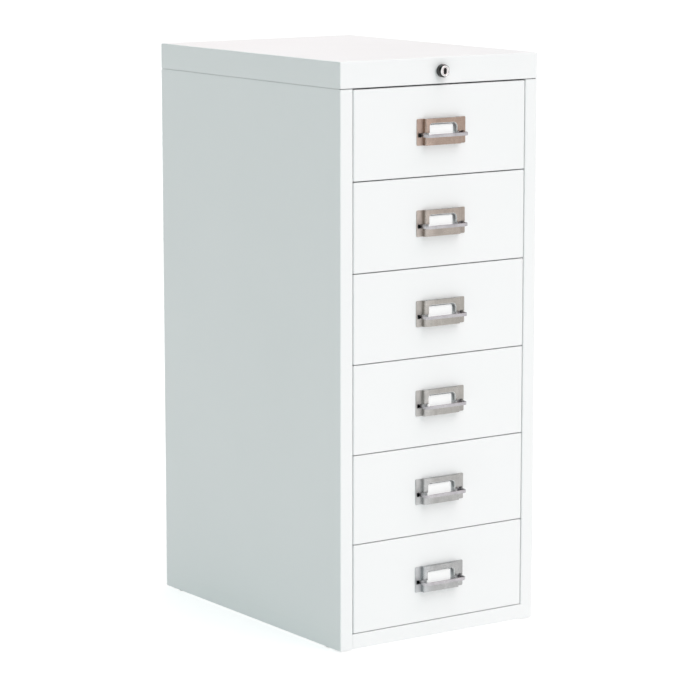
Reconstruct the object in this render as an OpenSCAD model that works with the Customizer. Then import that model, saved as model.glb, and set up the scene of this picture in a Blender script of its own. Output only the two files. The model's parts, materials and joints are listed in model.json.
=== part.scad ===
// Small steel drawer cabinet: a folded shell under a separate skirted cap,
// six flush drawers on side runners, card-holder pulls, and one cylinder lock
// that lifts a bar at the back and holds every drawer shut.
// Millimetres. +Z up, the drawer fronts face -Y, X = 0 is the middle of the width.

/* [Cabinet] */
// Width of the cabinet over its side skins
cab_w = 277; // [270:1:320]
// Depth of the cabinet from the front faces to the back, without the pulls
cab_d = 380; // [380:1:440]
// Height of the cabinet from the floor to the top of the cap
cab_h = 672; // [660:1:700]
// Height of the skirted cap on top
cap_h = 29.8; // [29:0.1:34]
// Thickness of the shell, cap and base sheet
shell_t = 1.0; // [0.8:0.1:1.2]
// Width of the front stile folded from each side skin
stile_w = 17.25; // [16:0.25:19]
// Height of the top of the front bottom rail above the floor
rail_top = 19.0; // [17:0.1:24]
// Height of the plastic glides under the base
foot_h = 1.5; // [1.5:0.1:3]

/* [Drawers] */
// Gap between one drawer front and the next
gap_h = 1.2; // [1:0.1:2.2]
// Gap between a drawer front and the stile beside it
gap_v = 1.0; // [0.9:0.1:1.5]
// Thickness of the drawer sheet
tray_t = 0.8; // [0.7:0.1:1]
// Thickness of the drawer front's outer skin
front_t = 0.9; // [0.8:0.1:1]
// Depth of the hollow drawer front
front_d = 12; // [10:0.5:14]
// Length of a drawer tray, measured from the front face
tray_len = 345; // [320:1:345]
// How far a drawer pulls out before its stops meet
travel = 280; // [200:5:285]

/* [Card-holder pulls] */
// Width of the pull's backing plate
plate_w = 68; // [66:0.5:72]
// Height of the backing plate above the middle of the drawer front
plate_up = 14.25; // [12:0.25:16]
// Height of the backing plate below the middle of the drawer front
plate_down = 15.75; // [13:0.25:17]
// Width of the raised card frame
raise_w = 51; // [49:0.5:51]
// How far the raised card frame stands off the drawer front
raise = 6; // [5.4:0.1:6.5]
// Thickness of the plate
plate_t = 0.9; // [0.7:0.1:1]
// Width of the card window
window_w = 38.5; // [30:0.5:40]
// Top edge of the card window above the middle of the drawer front
window_up = 8.4; // [5:0.1:9]
// Radius of the window's upper corners
window_r = 4; // [1:0.5:7]
// How far the pull strap stands out from the drawer front
strap_out = 15.5; // [14:0.5:18]
// Overall width of the pull strap
strap_w = 58.5; // [56:0.5:59.5]
// Height of the pull strap
strap_h = 3.8; // [3:0.1:3.9]
// Thickness of the pull strap
strap_t = 1.2; // [1:0.1:1.5]
// Outer radius of the pull strap's bends
strap_r = 4.5; // [3:0.5:7]

/* [Lock] */
// Height of the lock's middle above the cap's lower edge
lock_up = 14.4; // [14.2:0.1:15.5]
// Diameter of the lock's black collar
lock_d = 14.8; // [14:0.2:16]
// How far the lock's head stands out from the cap
lock_out = 8; // [6:0.2:8]
// Lift of the locking bar when the key turns a quarter
lock_lift = 9; // [8:0.5:9]

/* [Hidden] */

$fn = 48;

paint = [0.95, 0.96, 0.96];
inner_paint = [0.90, 0.91, 0.91];
nickel = [0.66, 0.64, 0.62];
steel = [0.62, 0.64, 0.66];
nylon = [0.86, 0.85, 0.80];

// Heads of the rivets on the back stand this far off it
rivet_h = 0.7;
// The middle of everything from the pulls' straps to the rivet heads is Y = 0
yf = -(strap_out + cab_d + rivet_h) / 2 + strap_out;
yb = yf + cab_d;
hw = cab_w / 2;

// Levels
cap_z = cab_h - cap_h;
seam = 1.0;
shell_z = cap_z - seam;
first_top = cap_z - 1.8;
pitch = (first_top - rail_top) / 6;
front_h = pitch - gap_h;
open_hw = hw - stile_w;
front_hw = open_hw - gap_v;
function zc(i) = first_top - front_h / 2 - (i - 1) * pitch;

// Trays hang from flanges along their top edges
tray_hw = open_hw - 7.75;
tray_lo = -46;
tray_hi = 40;
flange_hw = front_hw - 0.75;
ear_hw = flange_hw + 6.7;
ear_l = 12;
back_wall_hi = 30;

// Runners
run_front = 16;
run_back = tray_len + 7;
stop_y1 = tray_len - ear_l - travel - 0.5;
stop_y0 = stop_y1 - 12.5;

// Slot that the strap passes through, and the strap's own level
slot_hi = -1.7;
slot_lo = -6.5;
slot_hw = 32.4;
strap_mid = slot_lo + 2.2;

// The window's edge is turned in as far as this, just in front of the card
rim_y = -plate_t - 2.9;

// Lock works
lock_z = cap_z + lock_up;
oval_w = 2.3;
oval_h = 3.7;
lock_r = lock_d / 2;
barrel_r = 5.6;
head_r = lock_r - 1.2;
plug_r = 4.8;
plug_gap = 0.05;
barrel_l = 18;
shaft_r = 3;
bar_y0 = cab_d - 7;
bar_t = 2;
bar_hw = 12;
disc_y1 = bar_y0 - 3.4;
disc_y0 = disc_y1 - 3;
crank_r = lock_lift / 2 / sin(45);
pin_x = -lock_lift / 2;
pin_z = -lock_lift / 2;
pin_r = 2;

// Strikes and hooks: the hook's tip waits below the strike's lip and rises behind it
leg_z = 20;
lip_l = 8;
lip_y1 = tray_len + 13.2;
lip_y0 = lip_y1 - 1.2;
tip_y1 = lip_y0 - 0.8;
tip_y0 = tip_y1 - 1.5;
hook_z0 = leg_z - lip_l - 1.5 - 9.5;

// ---------------------------------------------------------------- helpers

// A block given by its lowest and highest corners, Y counted from the front faces
module block(a, b) {
    translate([a[0], yf + a[1], a[2]]) cube([b[0] - a[0], b[1] - a[1], b[2] - a[2]]);
}

// A round bar along Y, from y0 to y1 counted from the front faces
module bar_y(x, z, r, y0, y1) {
    translate([x, yf + y0, z]) rotate([-90, 0, 0]) cylinder(r = r, h = y1 - y0);
}

// A flat outline of the given half width, from y = 0 forward to -d, with rounded front corners
module nose(half, d, r) {
    translate([-half + r, -d]) square([2 * (half - r), d]);
    translate([-half, -d + r]) square([2 * half, d - r]);
    translate([-half + r, -d + r]) circle(r = r);
    translate([half - r, -d + r]) circle(r = r);
}

// ---------------------------------------------------------------- shell

// One side skin with its front stile and its rear, top and bottom flanges; s = -1 left, 1 right
module side_shell(s) {
    color(paint) mirror([s > 0 ? 1 : 0, 0, 0]) difference() {
        union() {
            block([-hw, 0, foot_h], [-hw + shell_t, cab_d, shell_z]);
            block([-hw, 0, foot_h], [-open_hw, shell_t, shell_z]);
            block([-open_hw - shell_t, 0, foot_h], [-open_hw, 14, shell_z]);
            block([-hw + 5.5, 14 - shell_t, foot_h], [-open_hw, 14, shell_z]);
            block([-hw, cab_d - shell_t, foot_h], [-hw + 12, cab_d, shell_z]);
            block([-hw, 14.4, shell_z - shell_t], [-hw + 13, cab_d - 2.4, shell_z]);
            block([-hw, 14.4, foot_h], [-hw + 18, cab_d - 2.4, foot_h + shell_t]);
        }
        for (y = [30, cab_d - 30])
            translate([-hw + 10.5, yf + y, foot_h - 1]) cylinder(r = 3.1, h = shell_t + 2);
        for (y = [40, cab_d / 2, cab_d - 40])
            translate([-hw + 7.5, yf + y, shell_z - shell_t - 1]) cylinder(r = 2.1, h = shell_t + 2);
        for (z = [40 : 112 : 600])
            bar_y(-hw + 7, z, 1.6, cab_d - shell_t - 1, cab_d + 1);
    }
}

// Flat back sheet behind the rear flanges
module back_panel() {
    color(paint) difference() {
        block([-hw + 1.6, cab_d - 2 * shell_t, foot_h + 2 * shell_t + 0.4], [hw - 1.6, cab_d - shell_t, shell_z - 0.4]);
        for (s = [-1, 1]) for (z = [40 : 112 : 600])
            bar_y(s * (hw - 7), z, 1.6, cab_d - 2 * shell_t - 1, cab_d);
    }
}

// Blind rivets that hold the back sheet to the side skins
module back_rivets() {
    color(steel) for (s = [-1, 1]) for (z = [40 : 112 : 600]) {
        bar_y(s * (hw - 7), z, 1.55, cab_d - 2 * shell_t - 0.4, cab_d + 0.2);
        bar_y(s * (hw - 7), z, 3, cab_d, cab_d + rivet_h);
        bar_y(s * (hw - 7), z, 2.4, cab_d - 2 * shell_t - 1.4, cab_d - 2 * shell_t);
    }
}

// Floor of the cabinet with the bottom rail folded up at its front
module base_pan() {
    z0 = foot_h + shell_t;
    color(paint) difference() {
        union() {
            block([-hw + 1.2, 14.6, z0], [hw - 1.2, cab_d - 2.4, z0 + shell_t]);
            block([-open_hw, shell_t, z0], [open_hw, 14.6, z0 + shell_t]);
            block([-open_hw, 0, foot_h], [open_hw, shell_t, rail_top]);
            block([-open_hw, 0, rail_top - shell_t], [open_hw, 13, rail_top]);
            block([-open_hw, 13 - shell_t, rail_top - 7], [open_hw, 13, rail_top]);
        }
        for (s = [-1, 1]) for (y = [30, cab_d - 30])
            translate([s * (hw - 10.5), yf + y, z0 - 1]) cylinder(r = 3.1, h = shell_t + 2);
    }
}

// Four low glides pushed up through the base
module glide_feet() {
    color([0.25, 0.25, 0.26]) for (s = [-1, 1]) for (y = [30, cab_d - 30])
        translate([s * (hw - 10.5), yf + y, 0]) {
            cylinder(r1 = 8.2, r2 = 9, h = 0.6);
            translate([0, 0, 0.6]) cylinder(r = 9, h = foot_h - 0.6);
            cylinder(r = 3, h = foot_h + 2 * shell_t + 0.2);
            translate([0, 0, foot_h + 2 * shell_t]) cylinder(r1 = 3.9, r2 = 2.6, h = 3);
        }
}

// Inner top sheet that closes the drawer space and carries the lock works
module top_pan() {
    color(inner_paint) difference() {
        union() {
            block([-hw + 0.5, 6, shell_z], [hw - 0.5, cab_d - 2.4, cap_z]);
            for (s = [0, 1]) mirror([s, 0, 0]) block([-hw + 0.5, 2.5, shell_z], [-open_hw - 0.3, 7, cap_z]);
            block([-hw + 14, 6, shell_z], [hw - 14, 7, cap_z + 5.5]);
        }
        block([-bar_hw - 1.5, disc_y0 - 2, shell_z - 1], [bar_hw + 1.5, cab_d, cap_z + 1]);
        for (s = [-1, 1]) for (y = [40, cab_d / 2, cab_d - 40])
            translate([s * (hw - 7.5), yf + y, shell_z - 1]) cylinder(r = 2.1, h = 3);
    }
}

// Skirted cap with return flanges along both sides and a hole for the lock
module top_cap() {
    color(paint) difference() {
        union() {
            difference() {
                block([-hw, 0, cap_z], [hw, cab_d, cab_h]);
                block([-hw + shell_t, shell_t, cap_z - 1], [hw - shell_t, cab_d - shell_t, cab_h - shell_t]);
            }
            for (s = [-1, 1]) mirror([s > 0 ? 1 : 0, 0, 0])
                block([-hw, 8, cap_z], [-hw + 13, cab_d - 8, cap_z + shell_t]);
        }
        bar_y(0, lock_z, barrel_r + 0.1, -1, shell_t + 1);
        for (s = [-1, 1]) for (y = [40, cab_d / 2, cab_d - 40])
            translate([s * (hw - 7.5), yf + y, cap_z - 1]) cylinder(r = 2.1, h = shell_t + 2);
    }
}

// Screws and their nuts that clamp cap, inner top and side flanges together
module cap_screws() {
    color(steel) for (s = [-1, 1]) for (y = [40, cab_d / 2, cab_d - 40])
        translate([s * (hw - 7.5), yf + y, 0]) {
            translate([0, 0, shell_z - shell_t - 2.2]) cylinder(r = 3.6, h = 2.2);
            translate([0, 0, shell_z - shell_t - 1]) cylinder(r = 2, h = 8.4);
            translate([0, 0, cap_z + shell_t]) cylinder(r = 4, h = 3.2, $fn = 6);
        }
}

// ---------------------------------------------------------------- runners

// One rolled runner: a web on the side skin and two ledges round the tray's flange
module runner(i) {
    x0 = -hw + shell_t;
    x1 = -tray_hw - 1.3;
    lo = zc(i) + tray_hi - 0.1;
    hi = zc(i) + tray_hi + tray_t + 1.2;
    block([x0, run_front, lo - 9], [x0 + 1, run_back, hi + 7.5]);
    block([x0, run_front, lo - 1], [x1, run_back, lo]);
    block([x0, run_front, hi], [x1, run_back, hi + 1]);
}

module left_runners() {
    color(steel) for (i = [1 : 6]) runner(i);
}

module right_runners() {
    color(steel) mirror([1, 0, 0]) for (i = [1 : 6]) runner(i);
}

// Nylon blocks in the runners that the ears of the tray flanges meet
module runner_stops() {
    color(nylon) for (s = [0, 1]) mirror([s, 0, 0]) for (i = [1 : 6])
        block([-hw + shell_t + 1, stop_y0, zc(i) + tray_hi - 0.1], [-flange_hw - 1, stop_y1, zc(i) + tray_hi + tray_t + 1.2]);
}

// ---------------------------------------------------------------- drawers

// Hollow folded front: skin, four returns and narrow inner lips, slotted for the strap
module drawer_front(i) {
    h = front_h / 2;
    color(paint) translate([0, 0, zc(i)]) difference() {
        block([-front_hw, 0, -h], [front_hw, front_d, h]);
        block([-front_hw + front_t, front_t, -h + front_t], [front_hw - front_t, front_d - front_t, h - front_t]);
        block([-tray_hw + 4, front_d - front_t - 1, tray_lo + 6], [tray_hw - 4, front_d + 1, tray_hi - 3]);
        for (s = [0, 1]) mirror([s, 0, 0])
            block([raise_w / 2 - 0.3, -1, slot_lo], [slot_hw, front_t + 1, slot_hi]);
    }
}

// Five-sided tray with a flange along each side that runs in the runners, and stop ears at the back
module drawer_tray(i) {
    color(inner_paint) translate([0, 0, zc(i)]) {
        difference() {
            block([-tray_hw, front_d, tray_lo], [tray_hw, tray_len, tray_hi]);
            block([-tray_hw + tray_t, front_d + tray_t, tray_lo + tray_t], [tray_hw - tray_t, tray_len - tray_t, tray_hi + 1]);
            block([-tray_hw + tray_t, tray_len - tray_t - 1, back_wall_hi], [tray_hw - tray_t, tray_len + 1, tray_hi + 1]);
        }
        for (s = [0, 1]) mirror([s, 0, 0]) {
            block([-flange_hw, run_front + 1, tray_hi], [-tray_hw + tray_t, tray_len, tray_hi + tray_t]);
            block([-ear_hw, tray_len - ear_l, tray_hi], [-flange_hw, tray_len, tray_hi + tray_t]);
        }
    }
}

// Block from the strap slot up to the given height, with rounded upper corners, between y0 and y1
module arch(half, up, r, y0, y1) {
    translate([-half + r, y0, slot_lo]) cube([2 * (half - r), y1 - y0, up - slot_lo]);
    translate([-half, y0, slot_lo]) cube([2 * half, y1 - y0, up - r - slot_lo]);
    for (s = [-1, 1]) translate([s * (half - r), y0, up - r]) rotate([-90, 0, 0]) cylinder(r = r, h = y1 - y0);
}

// Flat base plate with a raised card frame on it, closed along its top and bottom edges, and its window's
// edge turned in; the strap slot runs across the frame and on through both ends of the plate
module handle_plate(i) {
    color(nickel) translate([0, yf, zc(i)]) difference() {
        union() {
            translate([-plate_w / 2, -plate_t, -plate_down]) cube([plate_w, plate_t, plate_up + plate_down]);
            translate([0, 0, -plate_down]) linear_extrude(height = plate_up + plate_down) difference() {
                nose(raise_w / 2, raise, 2.2);
                translate([0, -plate_t + 0.01]) nose(raise_w / 2 - plate_t, raise - 2 * plate_t + 0.01, 1.3);
            }
            for (z = [-plate_down, plate_up - plate_t])
                translate([0, 0, z]) linear_extrude(height = plate_t) nose(raise_w / 2, raise, 2.2);
            arch(window_w / 2 + plate_t, window_up + plate_t, window_r + plate_t, -raise + plate_t - 0.1, rim_y);
        }
        // window with rounded upper corners, open down to the slot
        arch(window_w / 2, window_up, window_r, -raise - 1, rim_y + 0.2);
        translate([-raise_w, -raise - 1, slot_lo]) cube([2 * raise_w, raise - plate_t + 1, slot_hi - slot_lo]);
        for (s = [0, 1]) mirror([s, 0, 0])
            translate([raise_w / 2 - 0.3, -raise - 1, slot_lo]) cube([slot_hw - raise_w / 2 + 0.3, raise + 2, slot_hi - slot_lo]);
    }
}

// Bent strap that the fingers pull; its ends pass through the slots and fold inward behind the skin
module pull_strap(i) {
    color(nickel) translate([0, yf, zc(i) + strap_mid - strap_h / 2]) linear_extrude(height = strap_h) {
        difference() {
            nose(strap_w / 2, strap_out, strap_r);
            translate([0, 0.01]) nose(strap_w / 2 - strap_t, strap_out - strap_t + 0.01, strap_r - strap_t);
        }
        for (s = [0, 1]) mirror([s, 0]) {
            translate([strap_w / 2 - strap_t, -0.5]) square([strap_t, 0.5 + front_t + strap_t]);
            translate([strap_w / 2 - strap_t - 6, front_t]) square([strap_t + 6, strap_t]);
        }
    }
}

// Stiff plain card with rounded upper corners, lying on the base plate behind the window
module label_card(i) {
    y0 = -plate_t - 2.3;
    y1 = -plate_t - 0.05;
    color("white") translate([0, 0, zc(i)]) {
        block([-19, y0, -plate_down + plate_t + 0.1], [14.6, y1, window_up - 3.7]);
        block([-16.5, y0, window_up - 3.8], [12.1, y1, window_up - 1.2]);
        for (x = [-16.5, 12.1]) bar_y(x, window_up - 3.7, 2.5, y0, y1);
    }
}

// Bracket on the tray's back wall with a turned-down lip for the locking hook
module strike(i) {
    color(steel) translate([0, 0, zc(i)]) {
        block([-10, tray_len, leg_z - lip_l], [10, tray_len + 1.2, back_wall_hi]);
        block([-10, tray_len, leg_z], [10, lip_y1, leg_z + 1.2]);
        block([-10, lip_y0, leg_z - lip_l], [10, lip_y1, leg_z + 1.2]);
    }
}

// ---------------------------------------------------------------- lock

// Lock body through the cap's front skirt, bored for the plug
module lock_barrel() {
    color(nickel) difference() {
        union() {
            translate([0, yf - lock_out, lock_z]) rotate([-90, 0, 0]) cylinder(r1 = head_r - 0.2, r2 = head_r, h = 0.2);
            bar_y(0, lock_z, head_r, -lock_out + 0.2, 0);
            bar_y(0, lock_z, barrel_r, -0.5, barrel_l);
        }
        bar_y(0, lock_z, plug_r + plug_gap, -lock_out - 1, barrel_l + 1);
    }
}

// Black collar round the lock's head, tapered steeply at the front and drawn in where it meets the cap
module lock_collar() {
    color([0.12, 0.12, 0.12]) difference() {
        translate([0, yf - lock_out + 0.15, lock_z]) rotate([-90, 0, 0]) {
            cylinder(r1 = head_r + 0.14, r2 = lock_r, h = 2.2);
            translate([0, 0, 2.2]) cylinder(r = lock_r, h = lock_out - 3.55);
            translate([0, 0, lock_out - 1.35]) cylinder(r1 = lock_r, r2 = lock_r - 0.7, h = 1.19);
        }
        bar_y(0, lock_z, head_r + 0.04, -lock_out - 1, 1);
    }
}

// Nut that clamps the lock body behind the skirt
module lock_nut() {
    color(steel) difference() {
        translate([0, yf + shell_t, lock_z]) rotate([-90, 0, 0]) cylinder(r = 9, h = 3, $fn = 6);
        bar_y(0, lock_z, barrel_r + 0.05, 0, 6);
    }
}

// Upright oval about the lock's axis, from y0 to y1 counted from the front faces
module oval_y(half_w, half_h, y0, y1) {
    block([-half_w, y0, lock_z - half_h + half_w], [half_w, y1, lock_z + half_h - half_w]);
    for (s = [-1, 1]) bar_y(0, lock_z + s * (half_h - half_w), half_w, y0, y1);
}

// Plug that the key turns, recessed for the key guide, with a collar behind the lock body
module lock_plug() {
    color(steel) difference() {
        union() {
            bar_y(0, lock_z, plug_r, -lock_out + 0.3, barrel_l + 1.5);
            bar_y(0, lock_z, plug_r + 1.4, barrel_l + 0.2, barrel_l + 1.5);
        }
        oval_y(oval_w, oval_h, -lock_out - 1, -lock_out + 4.3);
        block([-0.7, -lock_out, lock_z - 3], [0.7, -lock_out + 12, lock_z + 3]);
    }
}

// Black guide in the plug's face with the upright keyway through it
module key_guide() {
    color([0.12, 0.12, 0.12]) difference() {
        oval_y(oval_w - 0.04, oval_h - 0.04, -lock_out + 0.5, -lock_out + 4.3);
        block([-0.7, -lock_out, lock_z - 3], [0.7, -lock_out + 6, lock_z + 3]);
    }
}

// Round shaft from the plug to the back of the cabinet, inside the cap
module drive_shaft() {
    color(steel) bar_y(0, lock_z, shaft_r, barrel_l + 1.5, disc_y0);
}

// Crank disc on the shaft with the pin that lifts the bar
module crank_disc() {
    color(steel) {
        bar_y(0, lock_z, crank_r + pin_r + 0.7, disc_y0, disc_y1);
        bar_y(pin_x, lock_z + pin_z, pin_r, disc_y1 - 0.5, cab_d - 2 * shell_t - 1.2);
    }
}

// Upright bearing bracket for the back end of the shaft
module shaft_bracket() {
    color(steel) difference() {
        union() {
            block([-14, cab_d - 56, cap_z], [14, cab_d - 40, cap_z + 1.2]);
            block([-14, cab_d - 41.5, cap_z], [14, cab_d - 40, cap_z + 6]);
            block([-10, cab_d - 41.5, cap_z], [10, cab_d - 40, cab_h - 4]);
        }
        bar_y(0, lock_z, shaft_r + 0.05, cab_d - 44, cab_d - 38);
    }
}

// Flat bar down the back with the slot for the crank pin
module lock_bar() {
    color(steel) difference() {
        block([-bar_hw, bar_y0, zc(6) - 48], [bar_hw, bar_y0 + bar_t, lock_z + pin_z + 8]);
        block([pin_x - pin_r - 0.3 - (crank_r + pin_x), bar_y0 - 1, lock_z + pin_z - 2.5], [pin_x + pin_r + 0.3, bar_y0 + bar_t + 1, lock_z + pin_z + 2.5]);
    }
}

// Hooks on the bar, one behind each drawer
module lock_hooks() {
    color(steel) for (i = [1 : 6]) translate([0, 0, zc(i) + hook_z0]) {
        block([-6, bar_y0 - 1.5, -9], [6, bar_y0, 1.5]);
        block([-6, tip_y0, 0], [6, bar_y0, 1.5]);
        block([-6, tip_y0, 0], [6, tip_y1, 9.5]);
    }
}

// Clips on the back sheet that the bar slides in
module lock_bar_guides() {
    yp = cab_d - 2 * shell_t;
    color(steel) for (i = [1, 3, 6]) translate([0, 0, zc(i) - 36]) for (s = [0, 1]) mirror([s, 0, 0]) {
        block([bar_hw + 0.6, yp - 1.2, 0], [bar_hw + 9, yp, 12]);
        block([bar_hw + 0.6, bar_y0 - 2.2, 0], [bar_hw + 1.8, yp, 12]);
        block([-0.5, bar_y0 - 2.2, 0], [bar_hw + 1.8, bar_y0 - 1, 12]);
    }
}

// ---------------------------------------------------------------- parts

side_shell(-1);  // left_side_shell
side_shell(1);  // right_side_shell
back_panel();
base_pan();
top_pan();
top_cap();
left_runners();
right_runners();
runner_stops();
back_rivets();
cap_screws();
glide_feet();
lock_barrel();
lock_collar();
lock_nut();
lock_plug();
key_guide();
drive_shaft();
crank_disc();
shaft_bracket();
lock_bar();
lock_hooks();
lock_bar_guides();
drawer_front(1);  // drawer_1_front
drawer_tray(1);  // drawer_1_tray
handle_plate(1);  // drawer_1_handle_plate
pull_strap(1);  // drawer_1_pull_strap
label_card(1);  // drawer_1_label_card
strike(1);  // drawer_1_strike
drawer_front(2);  // drawer_2_front
drawer_tray(2);  // drawer_2_tray
handle_plate(2);  // drawer_2_handle_plate
pull_strap(2);  // drawer_2_pull_strap
label_card(2);  // drawer_2_label_card
strike(2);  // drawer_2_strike
drawer_front(3);  // drawer_3_front
drawer_tray(3);  // drawer_3_tray
handle_plate(3);  // drawer_3_handle_plate
pull_strap(3);  // drawer_3_pull_strap
label_card(3);  // drawer_3_label_card
strike(3);  // drawer_3_strike
drawer_front(4);  // drawer_4_front
drawer_tray(4);  // drawer_4_tray
handle_plate(4);  // drawer_4_handle_plate
pull_strap(4);  // drawer_4_pull_strap
label_card(4);  // drawer_4_label_card
strike(4);  // drawer_4_strike
drawer_front(5);  // drawer_5_front
drawer_tray(5);  // drawer_5_tray
handle_plate(5);  // drawer_5_handle_plate
pull_strap(5);  // drawer_5_pull_strap
label_card(5);  // drawer_5_label_card
strike(5);  // drawer_5_strike
drawer_front(6);  // drawer_6_front
drawer_tray(6);  // drawer_6_tray
handle_plate(6);  // drawer_6_handle_plate
pull_strap(6);  // drawer_6_pull_strap
label_card(6);  // drawer_6_label_card
strike(6);  // drawer_6_strike
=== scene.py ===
import json
import math

import bmesh
import bpy
from mathutils import Matrix, Vector


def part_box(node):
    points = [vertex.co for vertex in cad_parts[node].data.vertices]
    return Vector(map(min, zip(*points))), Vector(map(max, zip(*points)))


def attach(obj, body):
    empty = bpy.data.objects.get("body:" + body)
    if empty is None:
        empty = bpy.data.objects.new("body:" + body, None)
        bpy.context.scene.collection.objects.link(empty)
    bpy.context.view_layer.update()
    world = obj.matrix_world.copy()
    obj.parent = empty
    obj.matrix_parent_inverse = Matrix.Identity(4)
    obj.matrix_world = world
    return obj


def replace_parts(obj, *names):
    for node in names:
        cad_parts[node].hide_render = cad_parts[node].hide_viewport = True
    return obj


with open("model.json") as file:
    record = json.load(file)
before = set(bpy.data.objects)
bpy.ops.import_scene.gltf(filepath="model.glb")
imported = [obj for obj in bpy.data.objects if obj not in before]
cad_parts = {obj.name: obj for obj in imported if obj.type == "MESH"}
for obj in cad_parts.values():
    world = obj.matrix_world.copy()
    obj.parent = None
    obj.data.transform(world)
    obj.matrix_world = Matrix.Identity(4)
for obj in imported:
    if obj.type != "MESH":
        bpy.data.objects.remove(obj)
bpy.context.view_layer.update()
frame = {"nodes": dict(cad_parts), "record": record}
NODES = frame["nodes"]
MM = 0.001
D = range(1, 7)


def lo_hi(node):
    """Lowest and highest corner of a CAD node at rest, in millimetres."""
    a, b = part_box(node)
    return Vector(a) / MM, Vector(b) / MM


# ------------------------------------------------------------------ camera

def aim(cam, azimuth, elevation):
    a, e = math.radians(azimuth), math.radians(elevation)
    back = Vector((math.sin(a) * math.cos(e), -math.cos(a) * math.cos(e), math.sin(e)))
    cam.rotation_mode = "QUATERNION"
    cam.rotation_quaternion = (-back).to_track_quat("-Z", "Y")


cam_data = bpy.data.cameras.new("camera")
camera = bpy.data.objects.new("camera", cam_data)
bpy.context.collection.objects.link(camera)
cam_data.sensor_width = 36.0
cam_data.lens = 154.216
cam_data.clip_start, cam_data.clip_end = 0.05, 200.0
camera.location = (-2.0185, -2.9061, 0.9136)
aim(camera, -34.805, 9.661)
bpy.context.scene.camera = camera


# ------------------------------------------------------------------ materials

def tree(name):
    mat = bpy.data.materials.new(name)
    mat.use_nodes = True
    nt = mat.node_tree
    nt.nodes.clear()
    out = nt.nodes.new("ShaderNodeOutputMaterial")
    bsdf = nt.nodes.new("ShaderNodeBsdfPrincipled")
    nt.links.new(bsdf.outputs["BSDF"], out.inputs["Surface"])
    return mat, nt, bsdf


def coords(nt, stretch=(1, 1, 1)):
    co = nt.nodes.new("ShaderNodeTexCoord")
    mp = nt.nodes.new("ShaderNodeMapping")
    mp.inputs["Scale"].default_value = stretch
    nt.links.new(co.outputs["Object"], mp.inputs["Vector"])
    return mp.outputs["Vector"]


def noise(nt, vec, scale, detail=2.0, rough=0.5):
    n = nt.nodes.new("ShaderNodeTexNoise")
    n.inputs["Scale"].default_value = scale
    n.inputs["Detail"].default_value = detail
    n.inputs["Roughness"].default_value = rough
    nt.links.new(vec, n.inputs["Vector"])
    return n.outputs["Fac"]


def remap(nt, value, a, b, c=0.0, d=1.0):
    m = nt.nodes.new("ShaderNodeMapRange")
    m.inputs["From Min"].default_value = c
    m.inputs["From Max"].default_value = d
    m.inputs["To Min"].default_value = a
    m.inputs["To Max"].default_value = b
    nt.links.new(value, m.inputs["Value"])
    return m.outputs["Result"]


def blend_colour(nt, fac, a, b):
    m = nt.nodes.new("ShaderNodeMix")
    m.data_type = "RGBA"
    m.inputs["A"].default_value = (*a, 1)
    m.inputs["B"].default_value = (*b, 1)
    nt.links.new(fac, m.inputs["Factor"])
    return m.outputs["Result"]


def add(nt, a, b):
    m = nt.nodes.new("ShaderNodeMath")
    m.operation = "ADD"
    nt.links.new(a, m.inputs[0])
    nt.links.new(b, m.inputs[1])
    return m.outputs[0]


def bump(nt, bsdf, height, strength, distance):
    b = nt.nodes.new("ShaderNodeBump")
    b.inputs["Strength"].default_value = strength
    b.inputs["Distance"].default_value = distance
    nt.links.new(height, b.inputs["Height"])
    nt.links.new(b.outputs["Normal"], bsdf.inputs["Normal"])


def enamel(name, light, dark, r0, r1, peel=0.12):
    """Stove enamel: fine orange peel, slow drift of tone and gloss."""
    mat, nt, bsdf = tree(name)
    v = coords(nt)
    tone = noise(nt, v, 4.5, 3.0, 0.55)
    nt.links.new(blend_colour(nt, remap(nt, tone, 0.0, 1.0, 0.3, 0.7), light, dark), bsdf.inputs["Base Color"])
    nt.links.new(remap(nt, noise(nt, v, 11.0, 4.0, 0.6), r0, r1, 0.3, 0.7), bsdf.inputs["Roughness"])
    peel_h = noise(nt, v, 520.0, 2.0, 0.45)
    slow_h = noise(nt, v, 90.0, 1.0, 0.4)
    bump(nt, bsdf, add(nt, peel_h, slow_h), peel, 0.00022)
    bsdf.inputs["Specular IOR Level"].default_value = 0.5
    bsdf.inputs["IOR"].default_value = 1.5
    return mat


def metal(name, light, dark, r0, r1, grain=(1, 1, 1), grain_scale=900.0, grain_bump=0.15, blotch=30.0):
    """Plated steel: drawn or brushed grain along one way, cloudy tone, uneven gloss."""
    mat, nt, bsdf = tree(name)
    v = coords(nt)
    g = noise(nt, coords(nt, grain), grain_scale, 3.0, 0.6)
    cloud = noise(nt, v, blotch, 4.0, 0.6)
    tone = blend_colour(nt, remap(nt, cloud, 0.0, 1.0, 0.3, 0.7), light, dark)
    nt.links.new(tone, bsdf.inputs["Base Color"])
    nt.links.new(add(nt, remap(nt, g, r0, r1, 0.25, 0.75), remap(nt, cloud, -0.04, 0.05, 0.3, 0.7)), bsdf.inputs["Roughness"])
    bump(nt, bsdf, g, grain_bump, 0.0001)
    bsdf.inputs["Metallic"].default_value = 1.0
    return mat


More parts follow.
